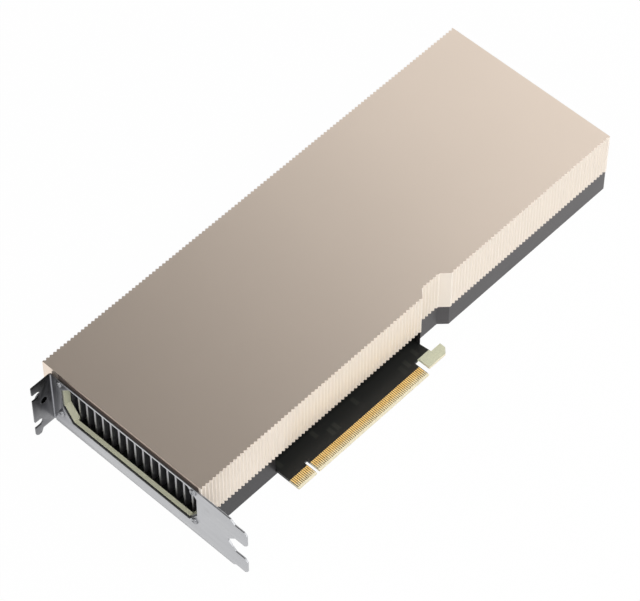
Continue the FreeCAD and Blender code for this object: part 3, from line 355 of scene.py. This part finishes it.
def makeBoardMaterial():
    # Black solder mask with copper runs just showing through, bare laminate on the retention
    # hook and along the bevelled tips.
    settings = {**plainFinish, **boardFinish}
    material, tree, shader = newMaterial("board", settings)
    cells = tree.nodes.new("ShaderNodeTexVoronoi")
    cells.distance = "CHEBYCHEV"
    cells.inputs["Scale"].default_value = settings["runs"]
    tree.links.new(objectPoint(tree, settings["runStretch"]), cells.inputs["Vector"])
    runs = remap(tree, cells.outputs["Distance"], 1, 0, *settings["runEdge"])
    masked = mixColor(tree, runs, settings["mask"], settings["copper"])
    weave = remap(tree, noise(tree, objectPoint(tree), settings["weave"]), 0, 1)
    darker, lighter = [shade(settings["bare"], factor) for factor in settings["weaveShades"]]
    laminate = mixColor(tree, weave, darker, lighter)
    withHook = mixColor(tree, insideBox(tree, settings["hook"]), masked, laminate)
    edge = insideBox(tree, settings["tipEdge"])
    sides = insideBox(tree, settings["tipSides"])
    tips = reckon(tree, "MAXIMUM", edge, sides)
    feed(tree, mixColor(tree, tips, withHook, settings["tips"]), shader.inputs["Base Color"])
    feed(tree, settings["roughness"], shader.inputs["Roughness"])
    bumpFrom(tree, shader, runs, settings)
    return material


goldFinish = {
    "fresh": (1.0, 0.68, 0.24),
    "worn": (1.0, 0.75, 0.33),
    "tip": (1.0, 0.9, 0.6),
    "tipFade": (1.8, 3.6),
    "metallic": 1.0,
    "roughness": (0.2, 0.36),
    "streaks": 9000,
    "streakStretch": (1, 0.06, 1),
    "cloud": 130,
    "depth": 0.005,
}


def makeGoldMaterial():
    # Plated gold with fine insertion marks along each contact.
    settings = {**plainFinish, **goldFinish}
    material, tree, shader = newMaterial("gold", settings)
    streaks = noise(tree, objectPoint(tree, settings["streakStretch"]), settings["streaks"])
    cloud = remap(tree, noise(tree, objectPoint(tree), settings["cloud"], 3), 0, 1)
    plated = mixColor(tree, cloud, settings["fresh"], settings["worn"])
    low, high = settings["tipFade"]
    inward = remap(tree, coordinate(tree, "Y"), 0, 1, low * mm, high * mm)
    feed(tree, mixColor(tree, inward, settings["tip"], plated), shader.inputs["Base Color"])
    feed(tree, remap(tree, streaks, *settings["roughness"]), shader.inputs["Roughness"])
    bumpFrom(tree, shader, streaks, settings)
    return material


materials["board"] = makeBoardMaterial()
materials["gold"] = makeGoldMaterial()

nodeFinish = {
    "cover": "champagne",
    "lower_frame": "darkFrame",
    "backplate": "darkFrame",
    "circuit_board": "board",
    "edge_contacts_front": "gold",
    "edge_contacts_back": "gold",
    "io_bracket": "nickel",
    "bracket_clinch_nut": "nutZinc",
    "bracket_screws": "zinc",
    "cover_screws": "blackOxide",
    "backplate_screws": "blackOxide",
    "board_nuts": "tinned",
    "heatsink_base": "aluminium",
    "heatsink_fins": "finSheet",
    "processor_carrier": "laminate",
    "processor_die": "silicon",
    "memory_stacks": "silicon",
    "package_stiffener": "platedCopper",
    "thermal_paste": "paste",
    "thermal_pads": "siliconePad",
    "inductors": "ironPowder",
    "power_stages": "moulding",
    "bulk_capacitors": "canSleeve",
    "power_controller": "moulding",
    "flash_memory": "moulding",
    "clock_crystal": "platedCopper",
    "spring_plate": "zinc",
    "spring_screws": "zinc",
    "power_socket": "nylon",
    "power_socket_pins": "tinned",
}


def paint(piece, material):
    piece.data.materials.clear()
    piece.data.materials.append(material)


for nodeName, finish in nodeFinish.items():
    paint(nodes[nodeName], materials[finish])
print("finishes on", len(nodeFinish), "nodes")


def newObject(name, mesh):
    data = bpy.data.meshes.new(name)
    mesh.to_mesh(data)
    mesh.free()
    made = bpy.data.objects.new(name, data)
    bpy.context.scene.collection.objects.link(made)
    return made


def finishPiece(name, mesh, material, replaced=None, smooth=True):
    # Turns a bmesh into a piece that rides on the card. Normals copied from a CAD node no
    # longer fit a bevelled mesh, so they go.
    bmesh.ops.remove_doubles(mesh, verts=mesh.verts, dist=weldGap)
    bmesh.ops.recalc_face_normals(mesh, faces=mesh.faces)
    piece = newObject(name, mesh)
    oldNormals = piece.data.attributes.get("custom_normal")
    if oldNormals:
        piece.data.attributes.remove(oldNormals)
    piece.data.polygons.foreach_set("use_smooth", [smooth] * len(piece.data.polygons))
    piece.data.set_sharp_from_angle(angle=math.radians(35))
    paint(piece, material)
    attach(piece, "root")
    if replaced:
        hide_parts(replaced)
    return piece


def solidsOf(nodeName):
    # Lowest and highest corners of each loose solid of a CAD node.
    mesh = bmesh.new()
    mesh.from_mesh(nodes[nodeName].data)
    bmesh.ops.remove_doubles(mesh, verts=mesh.verts, dist=weldGap)
    found = []
    waiting = set(mesh.verts)
    while waiting:
        stack = [waiting.pop()]
        island = []
        while stack:
            vert = stack.pop()
            island.append(vert.co.copy())
            for edge in vert.link_edges:
                other = edge.other_vert(vert)
                if other in waiting:
                    waiting.remove(other)
                    stack.append(other)
        low = Vector([min(co[i] for co in island) for i in range(3)])
        high = Vector([max(co[i] for co in island) for i in range(3)])
        found.append((low, high))
    mesh.free()
    return sorted(found, key=lambda pair: tuple(round(value, 5) for value in pair[0]))


screwLook = {
    "bracket_screws": {"head": 1.75, "height": 0.9, "shank": 0.97, "axis": "X", "top": "dome",
                       "recess": "cross", "reach": 0.95, "depth": 0.5, "finish": "zinc",
                       "slot": "zinc"},
    "cover_screws": {"head": 2.3, "height": 1.05, "shank": 1.2, "axis": "Z", "top": "flush",
                     "recess": "hexagon", "reach": 0.95, "depth": 0.9, "finish": "blackOxide",
                     "slot": "black_screws"},
    "backplate_screws": {"head": 2.3, "height": 1.05, "shank": 1.2, "axis": "Z", "top": "flush",
                         "recess": "hexagon", "reach": 0.95, "depth": 0.9, "finish": "blackOxide",
                         "slot": "black_screws"},
    "spring_screws": {"head": 2.2, "height": 0.9, "shank": 1.2, "axis": "Z", "top": "dome",
                      "recess": "cross", "reach": 1.1, "depth": 0.5, "finish": "zinc",
                      "slot": "zinc"},
}

# The domed top's points are shares of a head's radius and of its height, down from the top.
screwShape = {
    "dome": [(0, 0), (0.55, 0.06), (0.85, 0.24), (0.97, 0.48), (1, 0.75), (1, 1)],
    "rim": 0.06,
    "tip": 0.3,
    "steps": 32,
    "overcut": 0.2,
    "hexagonTaper": 0.94,
    "armWidth": 0.42,
    "armTaper": (0.45, 0.7),
}


def screwSection(look, length):
    # Half section of a screw that stands on its tip, its head's top at the height of length.
    head = look["head"]
    shank = look["shank"]
    height = look["height"]
    rim = screwShape["rim"]
    tip = screwShape["tip"]
    if look["top"] == "flush":
        top = [(0, length), (head - rim, length), (head, length - rim)]
    else:
        top = [(head * out, length - height * down) for out, down in screwShape["dome"]]
    return top + [(shank, length - height), (shank, tip), (shank - tip, 0), (0, 0)]


def recessCutter(look, length):
    # A tapering hexagon or a cross of two tapering bars, sunk into the head's top.
    mesh = bmesh.new()
    top = length + screwShape["overcut"]
    floor = length - look["depth"]
    reach = look["reach"]
    middle = (top + floor) / 2
    if look["recess"] == "hexagon":
        bmesh.ops.create_cone(mesh, cap_ends=True, segments=6,
                              radius1=reach * screwShape["hexagonTaper"], radius2=reach,
                              depth=top - floor, matrix=Matrix.Translation((0, 0, middle)))
        return mesh
    for turn in (0, math.pi / 2):
        bar = bmesh.ops.create_cube(mesh, size=1.0)["verts"]
        size = (reach * 2, reach * screwShape["armWidth"], top - floor)
        bmesh.ops.scale(mesh, verts=bar, vec=size)
        foot = [vert for vert in bar if vert.co.z < 0]
        bmesh.ops.scale(mesh, verts=foot, vec=(*screwShape["armTaper"], 1))
        place = Matrix.Translation((0, 0, middle)) @ Matrix.Rotation(turn, 4, "Z")
        bmesh.ops.transform(mesh, verts=bar, matrix=place)
    return mesh


def makeScrewMesh(look, length):
    # Spins the section, then takes the recess out of the head. Units are mm here.
    mesh = bmesh.new()
    start = [mesh.verts.new((x, 0, z)) for x, z in screwSection(look, length)]
    edges = [mesh.edges.new(pair) for pair in zip(start, start[1:])]
    bmesh.ops.spin(mesh, geom=start + edges, cent=(0, 0, 0), axis=(0, 0, 1), angle=math.tau,
                   steps=screwShape["steps"], use_merge=True)
    bmesh.ops.remove_doubles(mesh, verts=mesh.verts, dist=weldGap / mm)
    bmesh.ops.recalc_face_normals(mesh, faces=mesh.faces)
    blank = newObject("screwBlank", mesh)
    cutterMesh = recessCutter(look, length)
    bmesh.ops.recalc_face_normals(cutterMesh, faces=cutterMesh.faces)
    cutter = newObject("screwCutter", cutterMesh)
    sink = blank.modifiers.new("recess", "BOOLEAN")
    sink.object = cutter
    sink.operation = "DIFFERENCE"
    sink.solver = "EXACT"
    sink.use_self = look["recess"] == "cross"
    ready = blank.evaluated_get(bpy.context.evaluated_depsgraph_get())
    result = bpy.data.meshes.new_from_object(ready)
    bpy.data.objects.remove(blank)
    bpy.data.objects.remove(cutter)
    return result


def makeScrews(nodeName, look):
    # One detailed screw in place of each plain one, its head toward the outside of the card.
    joined = bmesh.new()
    turnHead = {"Z": Euler((math.pi, 0, 0)), "X": Euler((0, -math.pi / 2, 0))}[look["axis"]]
    along = "XYZ".index(look["axis"])
    for low, high in solidsOf(nodeName):
        length = (high[along] - low[along]) / mm
        template = makeScrewMesh(look, length)
        seat = (low + high) / 2
        seat[along] = high[along]
        known = set(joined.verts)
        joined.from_mesh(template)
        added = [vert for vert in joined.verts if vert not in known]
        place = Matrix.Translation(seat) @ turnHead.to_matrix().to_4x4() @ Matrix.Scale(mm, 4)
        bmesh.ops.transform(joined, matrix=place, verts=added)
        bpy.data.meshes.remove(template)
    finishPiece(nodeName + ".detailed", joined, materials[look["finish"]], nodeName)


def softenEdges(mesh, edges, offset):
    bmesh.ops.bevel(mesh, geom=edges, offset=offset * mm, segments=2, profile=0.5, affect="EDGES",
                    clamp_overlap=True, material=-1)


bracketLook = {"edge": 0.12, "flatUnder": 1, "crispOver": 40}  # the last two in degrees


def makeBracket():
    # The bracket again, with its cut edges slightly softened.
    mesh = bmesh.new()
    mesh.from_mesh(nodes["io_bracket"].data)
    bmesh.ops.remove_doubles(mesh, verts=mesh.verts, dist=weldGap)
    flat = math.radians(bracketLook["flatUnder"])
    crisp = math.radians(bracketLook["crispOver"])
    bmesh.ops.dissolve_limit(mesh, angle_limit=flat, verts=mesh.verts, edges=mesh.edges)
    cut = [edge for edge in mesh.edges
           if len(edge.link_faces) == 2 and edge.calc_face_angle(0) > crisp]
    softenEdges(mesh, cut, bracketLook["edge"])
    finishPiece("io_bracket.detailed", mesh, materials["nickel"], "io_bracket", smooth=False)


finFeetLook = {"foot": 1.2, "front": -53.5, "back": -46.6, "edge": 0.12, "overlap": 0.02}


def makeFinFeet():
    # The fins' front ends run on down to the board, in front of the heatsink's base.
    mesh = bmesh.new()
    front = finFeetLook["front"] * mm
    back = finFeetLook["back"] * mm
    foot = finFeetLook["foot"] * mm
    head = fins[0][2] - finFeetLook["overlap"] * mm
    for low, high in solidsOf("heatsink_fins"):
        plate = bmesh.ops.create_cube(mesh, size=1.0)["verts"]
        bmesh.ops.scale(mesh, verts=plate, vec=(back - front, high[1] - low[1], head - foot))
        middle = ((front + back) / 2, (low[1] + high[1]) / 2, (head + foot) / 2)
        bmesh.ops.translate(mesh, verts=plate, vec=middle)
    softenEdges(mesh, list(mesh.edges), finFeetLook["edge"])
    finishPiece("heatsink_fins.feet", mesh, materials["finSheet"])


for nodeName, look in screwLook.items():
    makeScrews(nodeName, look)
makeFinFeet()
makeBracket()
print("screws, fin feet and bracket made")

stageLook = {
    "floorSize": 6.0,
    "floorGap": 0.00005,
    "floorColor": (0.86, 0.86, 0.86),
    "glowShare": 0.985,
    "skyColor": (1, 1, 1),
    "worldColor": (1.0, 0.99, 0.98),
    "worldStrength": 0.14,
}


def lookedAt(tree):
    # 1 for what the camera sees itself or in a glossy surface.
    paths = tree.nodes.new("ShaderNodeLightPath")
    return reckon(tree, "MAXIMUM", paths.outputs["Is Camera Ray"], paths.outputs["Is Glossy Ray"])


def makeFloor():
    # White where it is looked at, apart from a share that keeps the card's shadow.
    mesh = bmesh.new()
    bmesh.ops.create_grid(mesh, x_segments=1, y_segments=1, size=stageLook["floorSize"] / 2)
    drop = cadBox[0][2] - stageLook["floorGap"]
    bmesh.ops.translate(mesh, verts=mesh.verts, vec=(0, 0, drop))
    floor = newObject("floor", mesh)
    material = bpy.data.materials.new("paleFloor")
    material.use_nodes = True
    tree = material.node_tree
    tree.nodes.clear()
    output = tree.nodes.new("ShaderNodeOutputMaterial")
    diffuse = tree.nodes.new("ShaderNodeBsdfDiffuse")
    feed(tree, stageLook["floorColor"], diffuse.inputs["Color"])
    glow = tree.nodes.new("ShaderNodeEmission")
    mix = tree.nodes.new("ShaderNodeMixShader")
    share = reckon(tree, "MULTIPLY", lookedAt(tree), stageLook["glowShare"])
    tree.links.new(share, mix.inputs[0])
    tree.links.new(diffuse.outputs["BSDF"], mix.inputs[1])
    tree.links.new(glow.outputs["Emission"], mix.inputs[2])
    tree.links.new(mix.outputs["Shader"], output.inputs["Surface"])
    paint(floor, material)


def makeWorld():
    # The camera sees plain white, while the card is lit by a weaker, warmer fill.
    world = bpy.data.worlds.new("studio")
    world.use_nodes = True
    bpy.context.scene.world = world
    tree = world.node_tree
    tree.nodes.clear()
    output = tree.nodes.new("ShaderNodeOutputWorld")
    seen = tree.nodes.new("ShaderNodeBackground")
    feed(tree, stageLook["skyColor"], seen.inputs["Color"])
    fill = tree.nodes.new("ShaderNodeBackground")
    feed(tree, stageLook["worldColor"], fill.inputs["Color"])
    feed(tree, stageLook["worldStrength"], fill.inputs["Strength"])
    paths = tree.nodes.new("ShaderNodeLightPath")
    mix = tree.nodes.new("ShaderNodeMixShader")
    tree.links.new(paths.outputs["Is Camera Ray"], mix.inputs[0])
    tree.links.new(fill.outputs["Background"], mix.inputs[1])
    tree.links.new(seen.outputs["Background"], mix.inputs[2])
    tree.links.new(mix.outputs["Shader"], output.inputs["Surface"])


# Each lamp's glow is its own brightness, where white is 1.
lamps = {
    "topPanel": {"at": (1.545, 0.65, 1.05), "aim": (1.545, 0.65, 0), "size": (1.75, 2.5), "glow": 0.945},
    "sidePanel": {"at": (0.1, -0.75, 1.0), "aim": (0.1, -0.75, 0), "size": (2.6, 1.1), "glow": 1.9},
    "sideFill": {"at": (0.2, -1.2, 0.3), "aim": (0.1, 0, 0.02), "size": (1.8, 0.5), "glow": 2.2},
    "endFill": {"at": (-1.1, 0.0, 0.75), "aim": (-0.06, 0.06, 0.01), "size": (1.0, 0.7), "glow": 1.6},
}


def makeLamps():
    for name, look in lamps.items():
        data = bpy.data.lights.new(name, "AREA")
        data.shape = "RECTANGLE"
        data.size, data.size_y = look["size"]
        data.energy = look["glow"] * math.pi * data.size * data.size_y
        lamp = bpy.data.objects.new(name, data)
        lamp.location = look["at"]
        lamp.rotation_mode = "QUATERNION"
        aim = Vector(look["aim"]) - Vector(look["at"])
        lamp.rotation_quaternion = aim.to_track_quat("-Z", "Y")
        lamp.visible_camera = False
        bpy.context.scene.collection.objects.link(lamp)


cameraLook = {
    "aim": (0.05923, 0.05509, 0.017),
    "turn": 46.625,
    "height": 53.057,
    "distance": 1.42075,
    "lens": 177.85,
    "sensor": 36.0,
    "reach": 20,
}


def makeCamera():
    # Stands off from the aim point, turned from the +Y direction and raised above the floor.
    turn = math.radians(cameraLook["turn"])
    rise = math.radians(cameraLook["height"])
    flat = math.cos(rise)
    look = Vector((math.sin(turn) * flat, math.cos(turn) * flat, -math.sin(rise)))
    data = bpy.data.cameras.new("camera")
    data.lens = cameraLook["lens"]
    data.sensor_width = cameraLook["sensor"]
    data.clip_end = cameraLook["reach"]
    camera = bpy.data.objects.new("camera", data)
    camera.location = Vector(cameraLook["aim"]) - look * cameraLook["distance"]
    camera.rotation_mode = "QUATERNION"
    camera.rotation_quaternion = look.to_track_quat("-Z", "Y")
    bpy.context.scene.collection.objects.link(camera)
    bpy.context.scene.camera = camera


makeFloor()
makeWorld()
makeLamps()
makeCamera()
bpy.context.scene.view_settings.view_transform = "Standard"
print("stage, lamps and camera ready")
